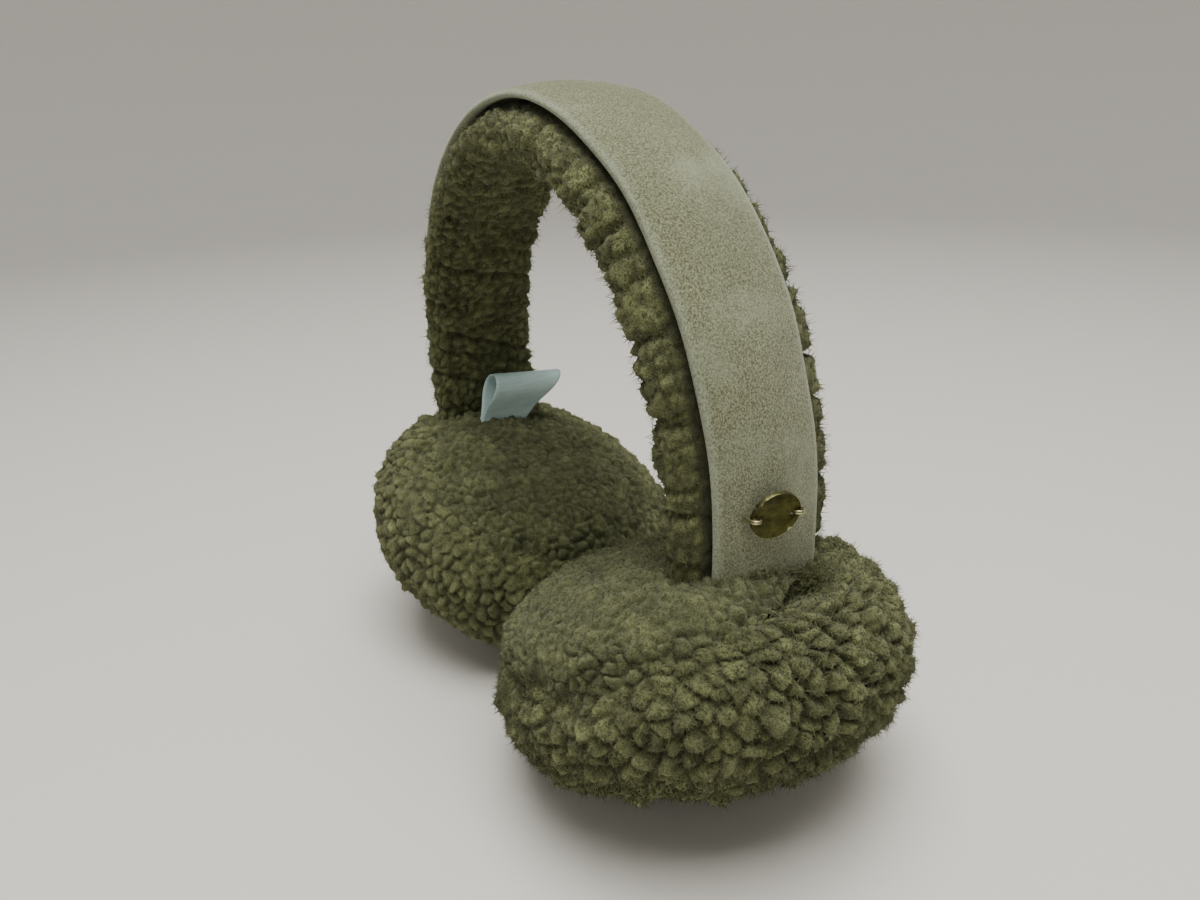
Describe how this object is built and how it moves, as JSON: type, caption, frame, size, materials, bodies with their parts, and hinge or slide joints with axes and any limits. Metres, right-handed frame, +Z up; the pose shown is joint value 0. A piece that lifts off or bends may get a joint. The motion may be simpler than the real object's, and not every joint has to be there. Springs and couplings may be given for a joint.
{
  "type": "fur earmuffs",
  "caption": "Shearling earmuffs: a fleece-lined suede headband standing on round curly fleece ear pads, with a small bare metal disc on one leg.",
  "frame": {"origin": "middle of the footprint, on the surface that the pads stand on", "axes": "+X from the left pad to the right pad, +Y from the front edge of the band to its back edge, +Z up"},
  "size_m": [0.2468, 0.1312, 0.2156],
  "materials": {
    "fleece": "matte curly sheepskin wool",
    "ear_fleece": "matte short sheepskin pile",
    "suede": "matte napped suede",
    "antique_brass": "darkened brass, satin",
    "loop_wire": "pale gold wire",
    "label_satin": "glossy satin tape"
  },
  "bodies": {
    "root": {"suede_band": "suede", "band_fleece": "fleece", "right_pad_outer": "fleece", "right_pad_ear": "ear_fleece", "left_pad_outer": "fleece", "left_pad_ear": "ear_fleece", "button_disc": "antique_brass", "button_loop_front": "loop_wire", "button_loop_back": "loop_wire", "care_label": "label_satin"}
  },
  "joints": []
}
